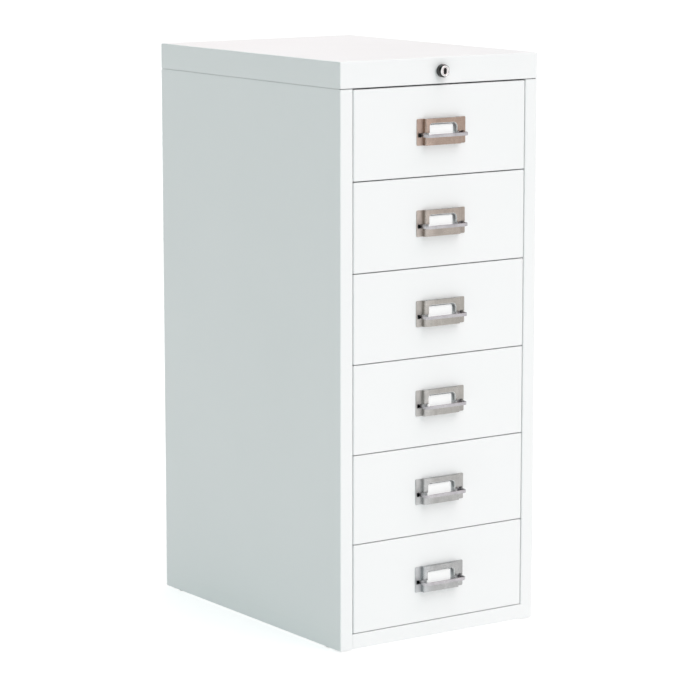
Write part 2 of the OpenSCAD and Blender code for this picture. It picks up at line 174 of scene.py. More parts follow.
def plated(name, gain=1.0, r0=0.20, r1=0.36, metallic=1.0):
    """Satin nickel: warm high up and neutral lower down, with a painted highlight that makes it brighter at the left
    end, brushed across, with fine scratches and soft stains.
    """
    mat, nt, bsdf = tree(name)
    v = coords(nt)
    grain = noise(nt, coords(nt, (0.05, 1.0, 1.0)), 1400.0, 3.0, 0.6)
    cloud = noise(nt, v, 85.0, 4.0, 0.6)
    stain = noise(nt, coords(nt, (1.0, 1.0, 0.35)), 260.0, 3.0, 0.65)
    sep = nt.nodes.new("ShaderNodeSeparateXYZ")
    nt.links.new(v, sep.inputs[0])

    def tone(light, dark):
        return blend_colour(nt, remap(nt, add(nt, cloud, stain), 0.0, 1.0, 0.7, 1.3), light, dark)

    def mix(fac, a, b, kind="MIX"):
        m = nt.nodes.new("ShaderNodeMix")
        m.data_type = "RGBA"
        m.blend_type = kind
        nt.links.new(fac, m.inputs["Factor"])
        for key, c in (("A", a), ("B", b)):
            if isinstance(c, tuple):
                m.inputs[key].default_value = (*c, 1)
            else:
                nt.links.new(c, m.inputs[key])
        return m.outputs["Result"]

    g = gain
    low = tone((0.455 * g, 0.46 * g, 0.457 * g), (0.36 * g, 0.364 * g, 0.363 * g))
    middle = tone((0.442 * g, 0.418 * g, 0.385 * g), (0.352 * g, 0.334 * g, 0.307 * g))
    high = tone((0.437 * g, 0.331 * g, 0.27 * g), (0.342 * g, 0.259 * g, 0.214 * g))
    body = mix(remap(nt, sep.outputs["Z"], 0.0, 1.0, 0.10, 0.36), low, middle)
    body = mix(remap(nt, sep.outputs["Z"], 0.0, 1.0, 0.42, 0.60), body, high)
    # painted highlight: the left end (x below -10 mm) is multiplied 1.24 to 1.29 times lighter, standing in for light
    # reflected there
    body = mix(remap(nt, sep.outputs["X"], 1.0, 0.0, -0.024, -0.010), body, (1.24, 1.26, 1.29), "MULTIPLY")
    nt.links.new(body, bsdf.inputs["Base Color"])
    nt.links.new(add(nt, remap(nt, grain, r0, r1, 0.25, 0.75), remap(nt, cloud, -0.04, 0.05, 0.3, 0.7)), bsdf.inputs["Roughness"])
    bump(nt, bsdf, grain, 0.16, 0.0001)
    bsdf.inputs["Metallic"].default_value = metallic
    return mat


def moulded(name, light, dark, r0, r1, grain=0.25):
    mat, nt, bsdf = tree(name)
    v = coords(nt)
    nt.links.new(blend_colour(nt, remap(nt, noise(nt, v, 60.0, 3.0), 0.0, 1.0, 0.3, 0.7), light, dark), bsdf.inputs["Base Color"])
    nt.links.new(remap(nt, noise(nt, v, 200.0, 3.0), r0, r1, 0.3, 0.7), bsdf.inputs["Roughness"])
    bump(nt, bsdf, noise(nt, v, 1800.0, 2.0), grain, 0.0001)
    return mat


def card_stock(name):
    """Plain card: fine fibres, faint mottling, and a faint painted glow that lightens it."""
    mat, nt, bsdf = tree(name)
    v = coords(nt)
    fibre = noise(nt, coords(nt, (1.0, 1.0, 4.0)), 1400.0, 4.0, 0.7)
    mottle = noise(nt, v, 180.0, 3.0)
    nt.links.new(blend_colour(nt, remap(nt, add(nt, fibre, mottle), 0.0, 1.0, 0.7, 1.3), (0.965, 0.972, 0.968), (0.94, 0.947, 0.942)), bsdf.inputs["Base Color"])
    nt.links.new(remap(nt, fibre, 0.82, 0.95, 0.3, 0.7), bsdf.inputs["Roughness"])
    bump(nt, bsdf, fibre, 0.35, 0.00006)
    bsdf.inputs["Specular IOR Level"].default_value = 0.3
    # painted glow: a faint white emission lightens the card beyond the light that reaches it
    bsdf.inputs["Emission Color"].default_value = (1.0, 1.0, 1.0, 1.0)
    bsdf.inputs["Emission Strength"].default_value = 0.09
    return mat


PAINT = enamel("shell_enamel", (0.864, 0.876, 0.875), (0.850, 0.864, 0.863), 0.34, 0.43)
FRONT = enamel("front_enamel", (0.864, 0.876, 0.875), (0.850, 0.864, 0.863), 0.33, 0.42)
INNER = enamel("inner_enamel", (0.80, 0.81, 0.81), (0.77, 0.78, 0.785), 0.42, 0.55, peel=0.2)
ZINC = metal("zinc_plate", (0.66, 0.68, 0.70), (0.56, 0.58, 0.61), 0.26, 0.42, (1.0, 0.06, 1.0), 900.0, 0.12, 45.0)
STRAP = metal("bright_nickel", (0.562, 0.546, 0.565), (0.40, 0.387, 0.406), 0.14, 0.27, (0.05, 1.0, 1.0), 1400.0, 0.10, 70.0)
LOCK = metal("lock_nickel", (0.97, 0.965, 0.96), (0.92, 0.915, 0.91), 0.12, 0.2, (1.0, 1.0, 1.0), 1600.0, 0.05, 160.0)
PLUG = metal("plug_nickel", (0.83, 0.775, 0.775), (0.73, 0.685, 0.685), 0.16, 0.26, (1.0, 0.2, 1.0), 1800.0, 0.08, 160.0)
NYLON = moulded("natural_nylon", (0.80, 0.79, 0.74), (0.76, 0.75, 0.69), 0.42, 0.55)
BLACK = moulded("black_glide", (0.035, 0.035, 0.038), (0.05, 0.05, 0.052), 0.45, 0.6)
COLLAR = moulded("black_collar", (0.012, 0.012, 0.011), (0.018, 0.018, 0.017), 0.13, 0.22, 0.06)
GUIDE = moulded("black_guide", (0.012, 0.012, 0.011), (0.018, 0.018, 0.017), 0.38, 0.52)
CARD = card_stock("white_card")
PLATE = plated("satin_nickel")
BASE = plated("satin_nickel_base", 1.02, 0.30, 0.48, 0.86)
# painted shade: a darker copy (gain 0.86) of the satin nickel for the card frame's side walls
SHADED_WALL = plated("satin_nickel_painted_shade", 0.86)
# painted highlight: a lighter, mostly diffuse nickel for the rolled window edge, standing in for the light it catches
RIM = metal("rolled_nickel_painted_highlight", (0.66, 0.665, 0.665), (0.56, 0.57, 0.57), 0.3, 0.44, (1.0, 1.0, 1.0), 1400.0, 0.10, 120.0)
# painted light: a lighter, mostly diffuse nickel for the base plate inside the frame, so its shaded recess reads
# lighter than the plate around it
LIGHTENED_INSIDE = metal("inner_nickel_painted_light", (0.72, 0.735, 0.745), (0.61, 0.63, 0.64), 0.34, 0.5, (0.05, 1.0, 1.0), 1400.0, 0.12, 120.0)
# the rim and the inner base plate are made mostly non-metallic so they read lighter: part of their painted highlight
# and painted light
for m, v in ((RIM, 0.35), (LIGHTENED_INSIDE, 0.15), (LOCK, 0.6), (PLUG, 0.75)):
    next(n for n in m.node_tree.nodes if n.type == "BSDF_PRINCIPLED").inputs["Metallic"].default_value = v

SLOTS = {
    "shell_paint": PAINT, "front_paint": FRONT, "inner_paint": INNER, "zinc_steel": ZINC, "plate_nickel": PLATE, "strap_nickel": STRAP,
    "lock_chrome": LOCK, "lock_metal": PLUG, "lock_black": COLLAR, "nylon": NYLON, "glide_plastic": BLACK, "card": CARD,
}
slot_of = {s["node"]: s["material_slot"] for s in frame["record"]["subparts"]}


# ------------------------------------------------------------------ mesh tools

def finish_mesh(bm, name, mat, body, weighted=True, sharp=32.0):
    bmesh.ops.remove_doubles(bm, verts=bm.verts, dist=0.002)
    bmesh.ops.recalc_face_normals(bm, faces=bm.faces)
    me = bpy.data.meshes.new(name)
    bmesh.ops.scale(bm, vec=(MM, MM, MM), verts=bm.verts)
    bm.to_mesh(me)
    bm.free()
    return place(me, name, mat, body, weighted, sharp)


def place(me, name, mat, body, weighted=True, sharp=32.0):
    mats = mat if isinstance(mat, tuple) else (mat,)
    which = [min(p.material_index, len(mats) - 1) for p in me.polygons]
    me.materials.clear()
    for m in mats:
        me.materials.append(m)
    for p, w in zip(me.polygons, which):
        p.use_smooth = True
        p.material_index = w
    me.set_sharp_from_angle(angle=math.radians(sharp))
    ob = bpy.data.objects.new(name, me)
    bpy.context.collection.objects.link(ob)
    if weighted:
        w = ob.modifiers.new("even_normals", "WEIGHTED_NORMAL")
        w.keep_sharp = True
        w.weight = 90
    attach(ob, body)
    return ob


def raw_object(bm):
    """A bmesh in millimetres as a scratch object, in metres."""
    me = bpy.data.meshes.new("scratch")
    bmesh.ops.recalc_face_normals(bm, faces=bm.faces)
    bmesh.ops.scale(bm, vec=(MM, MM, MM), verts=bm.verts)
    bm.to_mesh(me)
    bm.free()
    ob = bpy.data.objects.new("scratch", me)
    bpy.context.collection.objects.link(ob)
    return ob


def carve(base, cutters, unions=(), bevel=0.0, segments=2, angle=50.0):
    """base less the cutters, plus the unions, with its sharp edges rounded; all bmeshes in millimetres. Gives a bmesh in millimetres."""
    ob = raw_object(base)
    extra = []
    for op, items in (("UNION", unions), ("DIFFERENCE", cutters)):
        for c in items:
            co = raw_object(c)
            extra.append(co)
            m = ob.modifiers.new("cut", "BOOLEAN")
            m.operation, m.object, m.solver = op, co, "EXACT"
    if bevel:
        w = ob.modifiers.new("weld", "WELD")
        w.merge_threshold = 1e-5
        b = ob.modifiers.new("edge", "BEVEL")
        b.width, b.segments, b.limit_method, b.angle_limit = bevel * MM, segments, "ANGLE", math.radians(angle)
        b.use_clamp_overlap = True
    dg = bpy.context.evaluated_depsgraph_get()
    me = bpy.data.meshes.new_from_object(ob.evaluated_get(dg), depsgraph=dg)
    bm = bmesh.new()
    bm.from_mesh(me)
    bmesh.ops.scale(bm, vec=(1 / MM,) * 3, verts=bm.verts)
    for o in [ob] + extra:
        data = o.data
        bpy.data.objects.remove(o)
        bpy.data.meshes.remove(data)
    bpy.data.meshes.remove(me)
    return bm


def cuboid(a, b):
    bm = bmesh.new()
    bmesh.ops.create_cube(bm, size=1.0)
    a, b = Vector(a), Vector(b)
    for v in bm.verts:
        v.co = Vector((a[i] + (v.co[i] + 0.5) * (b[i] - a[i]) for i in range(3)))
    return bm


def prism(outline, axis, a, b):
    """A flat outline of (u, v) points extruded along axis: "X" takes (y, z), "Y" takes (x, z), "Z" takes (x, y)."""
    bm = bmesh.new()
    put = {"X": lambda u, v, w: (w, u, v), "Y": lambda u, v, w: (u, w, v), "Z": lambda u, v, w: (u, v, w)}[axis]
    rings = [[bm.verts.new(put(u, v, w)) for u, v in outline] for w in (a, b)]
    n = len(outline)
    for i in range(n):
        j = (i + 1) % n
        bm.faces.new((rings[0][i], rings[0][j], rings[1][j], rings[1][i]))
    bm.faces.new(rings[0])
    bm.faces.new(rings[1][::-1])
    return bm


def arc(cx, cy, r, a0, a1, n):
    return [(cx + r * math.cos(math.radians(a0 + (a1 - a0) * i / n)), cy + r * math.sin(math.radians(a0 + (a1 - a0) * i / n))) for i in range(n + 1)]


def round_rect(x0, x1, z0, z1, r, n=6):
    return (arc(x1 - r, z1 - r, r, 0, 90, n) + arc(x0 + r, z1 - r, r, 90, 180, n)
            + arc(x0 + r, z0 + r, r, 180, 270, n) + arc(x1 - r, z0 + r, r, 270, 360, n))


def loft(rings):
    """A closed skin through (y, outline) rings of (x, z) points, all with as many points."""
    bm = bmesh.new()
    vs = [[bm.verts.new((x, y, z)) for x, z in outline] for y, outline in rings]
    n = len(vs[0])
    for a, b in zip(vs, vs[1:]):
        for i in range(n):
            j = (i + 1) % n
            bm.faces.new((a[i], a[j], b[j], b[i]))
    bm.faces.new(vs[0])
    bm.faces.new(vs[-1][::-1])
    return bm


def bent_path(points, radii, seg=6):
    """Points and left-hand normals along a polyline whose inner corners are rounded to the given radii."""
    pts = [Vector(p) for p in points]
    out = []
    def left(u):
        return Vector((-u.y, u.x))
    u0 = (pts[1] - pts[0]).normalized()
    out.append((pts[0], left(u0)))
    for i in range(1, len(pts) - 1):
        u1, u2 = (pts[i] - pts[i - 1]).normalized(), (pts[i + 1] - pts[i]).normalized()
        turn = math.atan2(u1.x * u2.y - u1.y * u2.x, u1.dot(u2))
        r = radii[i - 1]
        if abs(turn) < 1e-6 or r <= 0:
            out.append((pts[i], left((u1 + u2).normalized())))
            continue
        d = r * math.tan(abs(turn) / 2)
        s = pts[i] - u1 * d
        side = 1 if turn > 0 else -1
        c = s + left(u1) * side * r
        for k in range(seg + 1):
            a = turn * k / seg
            rot = Matrix.Rotation(a, 2)
            out.append((c - rot @ (left(u1) * side * r), rot @ left(u1)))
    out.append((pts[-1], left((pts[-1] - pts[-2]).normalized())))
    return out


def bent_sheet(points, radii, t, axis, a, b, seg=6, edge=0.0):
    """Sheet metal: a bent centre line of thickness t, extruded along axis from a to b."""
    put = {"X": lambda p, w: (w, p.x, p.y), "Y": lambda p, w: (p.x, w, p.y), "Z": lambda p, w: (p.x, p.y, w)}[axis]
    path = bent_path(points, radii, seg)
    bm = bmesh.new()
    rows = []
    for w in (a, b):
        rows.append(([bm.verts.new(put(p + n * t / 2, w)) for p, n in path], [bm.verts.new(put(p - n * t / 2, w)) for p, n in path]))
    (l0, r0), (l1, r1) = rows
    for i in range(len(path) - 1):
        bm.faces.new((l0[i], l0[i + 1], l1[i + 1], l1[i]))
        bm.faces.new((r0[i + 1], r0[i], r1[i], r1[i + 1]))
        bm.faces.new((l0[i + 1], l0[i], r0[i], r0[i + 1]))
        bm.faces.new((l1[i], l1[i + 1], r1[i + 1], r1[i]))
    bm.faces.new((l0[0], l1[0], r1[0], r0[0]))
    bm.faces.new((l1[-1], l0[-1], r0[-1], r1[-1]))
    bmesh.ops.recalc_face_normals(bm, faces=bm.faces)
    if edge:
        round_edges(bm, edge)
    return bm


def round_edges(bm, width, angle=50.0, segments=2):
    es = [e for e in bm.edges if len(e.link_faces) == 2 and e.calc_face_angle(0) > math.radians(angle)]
    bmesh.ops.bevel(bm, geom=es, offset=width, segments=segments, profile=0.5, affect="EDGES", clamp_overlap=True)


def join(*bms):
    """Several bmeshes as one."""
    out = bms[0]
    for b in bms[1:]:
        me = bpy.data.meshes.new("join")
        b.to_mesh(me)
        b.free()
        out.from_mesh(me)
        bpy.data.meshes.remove(me)
    return out


def folded_pan(a, b, open_side, r, t, lip=0.0, seg=4):
    """A rounded box of sheet t thick between corners a and b, open on one side, such as "+Y" or "-Z", with an inward lip round the opening."""
    bm = cuboid(a, b)
    ax, sg = "XYZ".index(open_side[1]), (1 if open_side[0] == "+" else -1)
    back = max(bm.faces, key=lambda f: f.calc_center_median()[ax] * sg)
    if lip:
        bmesh.ops.inset_region(bm, faces=[back], thickness=lip, use_even_offset=True)
    bmesh.ops.delete(bm, geom=[back], context="FACES_ONLY")
    es = [e for e in bm.edges if len(e.link_faces) == 2 and e.calc_face_angle(0) > math.radians(30)]
    bmesh.ops.bevel(bm, geom=es, offset=r, segments=seg, profile=0.5, affect="EDGES", clamp_overlap=True)
    bmesh.ops.recalc_face_normals(bm, faces=bm.faces)
    mid = (Vector(a) + Vector(b)) / 2
    out = sum(((f.calc_center_median() - mid).dot(f.normal) * f.calc_area() for f in bm.faces))
    if out < 0:
        bmesh.ops.reverse_faces(bm, faces=bm.faces)
    ob = raw_object_keep(bm)
    m = ob.modifiers.new("sheet", "SOLIDIFY")
    m.thickness, m.offset, m.use_even_offset, m.use_quality_normals = t * MM, -1.0, True, True
    dg = bpy.context.evaluated_depsgraph_get()
    me = bpy.data.meshes.new_from_object(ob.evaluated_get(dg), depsgraph=dg)
    res = bmesh.new()
    res.from_mesh(me)
    bmesh.ops.scale(res, vec=(1 / MM,) * 3, verts=res.verts)
    data = ob.data
    bpy.data.objects.remove(ob)
    bpy.data.meshes.remove(data)
    bpy.data.meshes.remove(me)
    return res


def raw_object_keep(bm):
    me = bpy.data.meshes.new("scratch")
    bmesh.ops.scale(bm, vec=(MM, MM, MM), verts=bm.verts)
    bm.to_mesh(me)
    bm.free()
    ob = bpy.data.objects.new("scratch", me)
    bpy.context.collection.objects.link(ob)
    return ob


def lathe_y(profile, cx, cz, y0, steps=64):
    """A closed (radius, y) profile turned about the Y axis through (cx, cz); y counted from y0."""
    bm = bmesh.new()
    n = len(profile)
    rings = []
    for k in range(steps):
        a = 2 * math.pi * k / steps
        rings.append([None if r == 0 else bm.verts.new((cx + r * math.cos(a), y0 + y, cz + r * math.sin(a))) for r, y in profile])
    poles = {i: bm.verts.new((cx, y0 + y, cz)) for i, (r, y) in enumerate(profile) if r == 0}
    for k in range(steps):
        p, q = rings[k], rings[(k + 1) % steps]
        for i in range(n):
            j = (i + 1) % n
            vs = []
            for ring, idx in ((p, i), (p, j), (q, j), (q, i)):
                v = ring[idx] if ring[idx] is not None else poles[idx]
                if v not in vs:
                    vs.append(v)
            if len(vs) > 2:
                try:
                    bm.faces.new(vs)
                except ValueError:
                    pass
    bmesh.ops.recalc_face_normals(bm, faces=bm.faces)
    return bm


def sweep(path, section, put):
    """A closed section of (n, w) points carried along path, a list of (point, normal); put places (point, w)."""
    bm = bmesh.new()
    rings = [[bm.verts.new(put(p + n * s, w)) for s, w in section] for p, n in path]
    m = len(section)
    for a, b in zip(rings, rings[1:]):
        for i in range(m):
            j = (i + 1) % m
            bm.faces.new((a[i], a[j], b[j], b[i]))
    bm.faces.new(rings[0][::-1])
    bm.faces.new(rings[-1])
    bmesh.ops.recalc_face_normals(bm, faces=bm.faces)
    return bm


# ------------------------------------------------------------------ main levels, read from the frame

shell_lo, shell_hi = lo_hi("left_side_shell")
cap_lo, cap_hi = lo_hi("top_cap")
YF, YB = shell_lo.y, shell_hi.y
HW = -shell_lo.x
T = 1.0
front_lo, front_hi = lo_hi("drawer_1_front")
rail_lo, rail_hi = lo_hi("base_pan")
STILE = HW - 121.25
OPEN = HW - STILE
RAIL = rail_hi.z


def zmid(i):
    a, b = lo_hi("drawer_%d_front" % i)
    return (a.z + b.z) / 2


# ------------------------------------------------------------------ shell

def side_shell(sign):
    """Side skin, stile and rear flange folded from one sheet, with top and bottom flanges."""
    h = T / 2
    def x(v):
        return v * sign
    def stile(z0, z1, r_in):
        pts = [(x(HW - 5.5), YF + 14 - h), (x(OPEN + h), YF + 14 - h), (x(OPEN + h), YF + h), (x(HW - h), YF + h),
               (x(HW - h), YB - h), (x(HW - 12), YB - h)]
        return bent_sheet(pts, [0.9, r_in, 1.0, 1.0], T, "Z", z0, z1, 6)
    upper = stile(RAIL - 0.4, shell_hi.z, 0.9)
    lower = stile(shell_lo.z, RAIL - 0.4, 0.0)
    round_edges(upper, 0.15)
    top = cuboid((min(x(HW - 0.4), x(HW - 13)), YF + 14.4, shell_hi.z - T), (max(x(HW - 0.4), x(HW - 13)), YB - 2.4, shell_hi.z - 0.06))
    low = cuboid((min(x(HW - 0.4), x(HW - 18)), YF + 14.4, shell_lo.z + 0.06), (max(x(HW - 0.4), x(HW - 18)), YB - 2.4, shell_lo.z + T))
    round_edges(top, 0.15)
    round_edges(low, 0.15)
    bm = join(upper, lower, top, low)
    side = "left" if sign < 0 else "right"
    return finish_mesh(bm, side + "_side_sheet", PAINT, "cabinet")


for s, name in ((-1, "left_side_shell"), (1, "right_side_shell")):
    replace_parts(side_shell(s), name)


def base_sheet():
    h = T / 2
    z0 = rail_lo.z
    rail = bent_sheet([(YF + 13 - h, RAIL - 7), (YF + 13 - h, RAIL - h), (YF + h, RAIL - h), (YF + h, z0 + h), (YF + 11.5, z0 + h)],
                      [0.9, 0.9, 0.9], T, "X", -OPEN, OPEN, 6)
    floor = cuboid((-HW + 1.2, YF + 14.6, z0 + T), (HW - 1.2, YB - 2.4, z0 + 2 * T))
    tongue = cuboid((-OPEN + 0.3, YF + T, z0 + T), (OPEN - 0.3, YF + 14.6, z0 + 2 * T))
    return finish_mesh(join(rail, floor, tongue), "base_sheet", PAINT, "cabinet")


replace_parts(base_sheet(), "base_pan")


def cap_sheet():
    shell = folded_pan((-HW, YF, cap_lo.z), (HW, YB, cap_hi.z), "-Z", 1.4, T, 0.0, 5)
    lock_z = sum(lo_hi("lock_barrel")[i].z for i in (0, 1)) / 2
    hole = lathe_y([(0, -3), (5.72, -3), (5.72, 4), (0, 4)], 0, lock_z, YF, 48)
    bm = carve(shell, [hole])
    for s in (-1, 1):
        lip = cuboid((min(s * (HW - 0.4), s * (HW - 13)), YF + 8, cap_lo.z + 0.06), (max(s * (HW - 0.4), s * (HW - 13)), YB - 8, cap_lo.z + T))
        round_edges(lip, 0.15)
        bm = join(bm, lip)
    return finish_mesh(bm, "cap_sheet", PAINT, "cabinet")


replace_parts(cap_sheet(), "top_cap")


# ------------------------------------------------------------------ drawers

PLATE_UP, PLATE_DOWN, PLATE_HALF = 14.25, 15.75, 34.0
RAISE_HALF, RAISE, PLATE_T = 25.5, 6.0, 0.9
WIN_HALF, WIN_UP, WIN_R, RIM_BACK, ROLL = 19.25, 8.4, 4.0, 3.8, 1.1
SLOT_HI, SLOT_LO, SLOT_HALF = -1.7, -6.5, 32.4
STRAP_HALF, STRAP_OUT, STRAP_T, STRAP_H, STRAP_R = 29.25, 15.5, 1.2, 3.8, 4.5


# how much narrower the gap below each front sits than the even 1.2 mm, from the cap downwards
CLOSER = (0, 0, 0.15, 0.22, 0.22, 0.27, 0.45)


def drawer_front(i):
    a, b = lo_hi("drawer_%d_front" % i)
    z = (a.z + b.z) / 2
    a.z -= CLOSER[i] / (1 if i == 6 else 2)
    b.z += CLOSER[i - 1] / 2
    pan = folded_pan(a, b, "+Y", 1.4, 0.9, 10.0, 5)
    cuts = [cuboid((s * SLOT_HALF if s < 0 else 25.2, YF - 2, z + SLOT_LO), (-25.2 if s < 0 else SLOT_HALF, YF + 2, z + SLOT_HI)) for s in (-1, 1)]
    bm = carve(pan, cuts)
    ob = finish_mesh(bm, "drawer_%d_front_panel" % i, FRONT, "drawer_%d" % i)
    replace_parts(ob, "drawer_%d_front" % i)


def arch(z, grow=0.0):
    """Outline of the card window, grown by a margin: square at the slot, round at its upper corners."""
    w0, w1, r0, r1 = WIN_HALF + grow, WIN_HALF - ROLL + grow, WIN_R - 1.2 + grow, WIN_R + 0.8 + grow
    return [(-w0, z + SLOT_LO + 1), (w1, z + SLOT_LO + 1)] + arc(w1 - r1, z + WIN_UP + grow - r1, r1, 0, 90, 8) + arc(-w0 + r0, z + WIN_UP + grow - r0, r0, 90, 180, 8)


def card_plate(i):
    """Flat base plate under a pressed card frame closed along its top and bottom edges, with the window and the strap slot."""
    z, h = zmid(i), PLATE_T / 2
    base = prism(round_rect(-PLATE_HALF, PLATE_HALF, z - PLATE_DOWN, z + PLATE_UP, 1.3), "Y", YF - PLATE_T, YF)
    pts = [(-RAISE_HALF + h, YF - 0.35), (-RAISE_HALF + h + 0.25, YF - RAISE + h), (RAISE_HALF - h - 0.25, YF - RAISE + h), (RAISE_HALF - h, YF - 0.35)]
    hat = bent_sheet(pts, [1.75, 1.75], PLATE_T, "Z", z - PLATE_DOWN, z + PLATE_UP, 7)
    nose = [(-RAISE_HALF + 0.5, YF - 0.35)] + arc(-RAISE_HALF + 2.45, YF - RAISE + 2.2, 2.0, 180, 270, 6) + arc(RAISE_HALF - 2.45, YF - RAISE + 2.2, 2.0, 270, 360, 6) + [(RAISE_HALF - 0.5, YF - 0.35)]
    lips = [prism(nose, "Z", a, a + PLATE_T) for a in (z - PLATE_DOWN, z + PLATE_UP - PLATE_T)]
    rim = prism(arch(z, PLATE_T - 0.05), "Y", YF - RAISE + 0.4, YF - RIM_BACK)
    window = loft([(YF - 9, arch(z, 2.0)), (YF - RAISE - 0.02, arch(z, 0.95)), (YF - RAISE + 0.14, arch(z, 0.62)), (YF - RAISE + 0.42, arch(z, 0.27)),
                   (YF - RAISE + 0.85, arch(z, 0.06)), (YF - RAISE + 1.3, arch(z, 0.0)), (YF - RIM_BACK + 0.2, arch(z, 0.0))])
    slot = cuboid((-40, YF - 9, z + SLOT_LO), (40, YF - PLATE_T - 0.02, z + SLOT_HI))
    ends = [cuboid((min(s * 25.2, s * SLOT_HALF), YF - 9, z + SLOT_LO), (max(s * 25.2, s * SLOT_HALF), YF + 3, z + SLOT_HI)) for s in (-1, 1)]
    bm = carve(hat, [window, slot], lips + [rim], 0.3, 3, 50)
    flat = carve(base, ends, [], 0.18, 2, 50)
    for x in (-RAISE_HALF + 0.9, RAISE_HALF - 0.9):
        bmesh.ops.bisect_plane(flat, geom=flat.verts[:] + flat.edges[:] + flat.faces[:], plane_co=(x, 0, 0), plane_no=(1, 0, 0))
    bm.normal_update()
    for f in bm.faces:
        c = f.calc_center_median()
        # the frame's side walls take the darker painted-shade copy of the nickel
        if abs(f.normal.x) > 0.6 and abs(c.x) > RAISE_HALF - 1.5:
            f.material_index = 2
        # the faces round the window take the lighter painted-highlight rim nickel
        elif abs(c.x) < WIN_HALF + 1.05 and z + SLOT_HI - 0.2 < c.z < z + WIN_UP + 1.05 and c.y < YF - RIM_BACK + 0.1 and abs(f.normal.y) < 0.93:
            f.material_index = 3
        else:
            f.material_index = 0
    for f in flat.faces:
        # the base plate inside the frame takes the lighter painted-light copy of the nickel, and the flanges take the
        # base nickel
        f.material_index = 4 if abs(f.calc_center_median().x) < RAISE_HALF - 0.9 else 1
    ob = finish_mesh(join(bm, flat), "drawer_%d_card_plate" % i, (PLATE, BASE, SHADED_WALL, RIM, LIGHTENED_INSIDE), "drawer_%d" % i)
    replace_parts(ob, "drawer_%d_handle_plate" % i)


def pull(i):
    """Bent strap with softened edges, its ends folded inward behind the skin."""
    z = zmid(i) + SLOT_LO + 2.2
    half, out, t = STRAP_HALF - STRAP_T / 2, STRAP_OUT - STRAP_T / 2, STRAP_T
    back = YF + 0.9 + t / 2
    pts = [(half - 6.6, back), (half, back), (half, YF - out), (-half, YF - out), (-half, back), (-half + 6.6, back)]
    path = bent_path(pts, [0.75, STRAP_R - t / 2, STRAP_R - t / 2, 0.75], 10)
    section = round_rect(-t / 2, t / 2, -STRAP_H / 2, STRAP_H / 2, 0.38, 4)
    bm = sweep(path, section, lambda p, w: (p.x, p.y, z + w))
    ob = finish_mesh(bm, "drawer_%d_strap" % i, STRAP, "drawer_%d" % i, sharp=50)
    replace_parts(ob, "drawer_%d_pull_strap" % i)


def card(i):
    """Stiff plain card with rounded upper corners, lying on the base plate."""
    a, b = lo_hi("drawer_%d_label_card" % i)
    r = 2.5
    outline = [(a.x + 0.3, a.z), (b.x - 0.3, a.z), (b.x, a.z + 0.3)] + arc(b.x - r, b.z - r, r, 0, 90, 8) + arc(a.x + r, b.z - r, r, 90, 180, 8) + [(a.x, a.z + 0.3)]
    bm = prism(outline, "Y", a.y + 0.02, b.y - 0.02)
    round_edges(bm, 0.12)
    ob = finish_mesh(bm, "drawer_%d_card" % i, CARD, "drawer_%d" % i)
    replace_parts(ob, "drawer_%d_label_card" % i)


for i in D:
    drawer_front(i)
    card_plate(i)
    pull(i)
    card(i)


# ------------------------------------------------------------------ lock

bar_lo, bar_hi = lo_hi("lock_barrel")
LZ = (bar_lo.z + bar_hi.z) / 2
LR = (bar_hi.x - bar_lo.x) / 2
LOUT = YF - bar_lo.y


def oval(half_w, half_h, n=10):
    return arc(0, LZ + half_h - half_w, half_w, 0, 180, n) + arc(0, LZ - half_h + half_w, half_w, 180, 360, n)


def lock_body():
    """Polished head with a softly rounded rim, and the plain body behind the cap."""
    o = -LOUT
    prof = [(4.85, 18), (5.6, 18), (5.6, 0.0), (LR, 0.0), (LR, o + 0.3), (LR - 0.07, o + 0.12), (LR - 0.22, o)]
    prof += [(5.15, o), (4.95, o + 0.12), (4.85, o + 0.35)]
    ob = finish_mesh(lathe_y(prof, 0, LZ, YF, 72), "lock_body", LOCK, "cabinet", sharp=40)
    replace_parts(ob, "lock_barrel")


def collar():
    """Black collar with a steeply tapered front, a fine groove round it, and drawn in where it meets the cap."""
    a, b = lo_hi("lock_collar")
    r, o = (b.x - a.x) / 2, a.y - YF
    prof = [(LR + 0.04, -0.02), (LR + 0.04, o + 0.06), (LR + 0.08, o), (LR + 0.14, o), (LR + 0.22, o + 0.1), (r - 0.1, o + 2.0), (r, o + 2.35), (r, o + 3.9), (r - 0.12, o + 4.02), (r - 0.12, o + 4.28), (r, o + 4.4)]
    prof += [(r, -1.35), (r - 0.08, -1.1), (r - 0.68, -0.06), (r - 0.72, -0.02)]
    ob = finish_mesh(lathe_y(prof, 0, LZ, YF, 72), "lock_ring", COLLAR, "cabinet", sharp=40)
    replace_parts(ob, "lock_collar")


def lock_core():
    o = -LOUT + 0.3
    prof = [(0, o), (4.5, o), (4.72, o + 0.1), (4.8, o + 0.35), (4.8, 18.2), (6.2, 18.2), (6.2, 19.5), (0, 19.5)]
    cuts = [prism(oval(2.3, 3.7), "Y", YF + o - 2, YF - LOUT + 4.3), cuboid((-0.7, YF + o - 1, LZ - 3), (0.7, YF - LOUT + 12, LZ + 3))]
    bm = carve(lathe_y(prof, 0, LZ, YF, 72), cuts, [], 0.08, 2, 50)
    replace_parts(finish_mesh(bm, "lock_core", PLUG, "lock_plug_set", sharp=40), "lock_plug")
    bm = carve(prism(oval(2.26, 3.66), "Y", YF - LOUT + 0.5, YF - LOUT + 4.3), [cuboid((-0.7, YF - 20, LZ - 3), (0.7, YF + 6, LZ + 3))], [], 0.15, 2, 50)
    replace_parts(finish_mesh(bm, "keyway_insert", GUIDE, "lock_plug_set", sharp=40), "key_guide")


lock_body()
collar()
lock_core()


# ------------------------------------------------------------------ rivets and glides

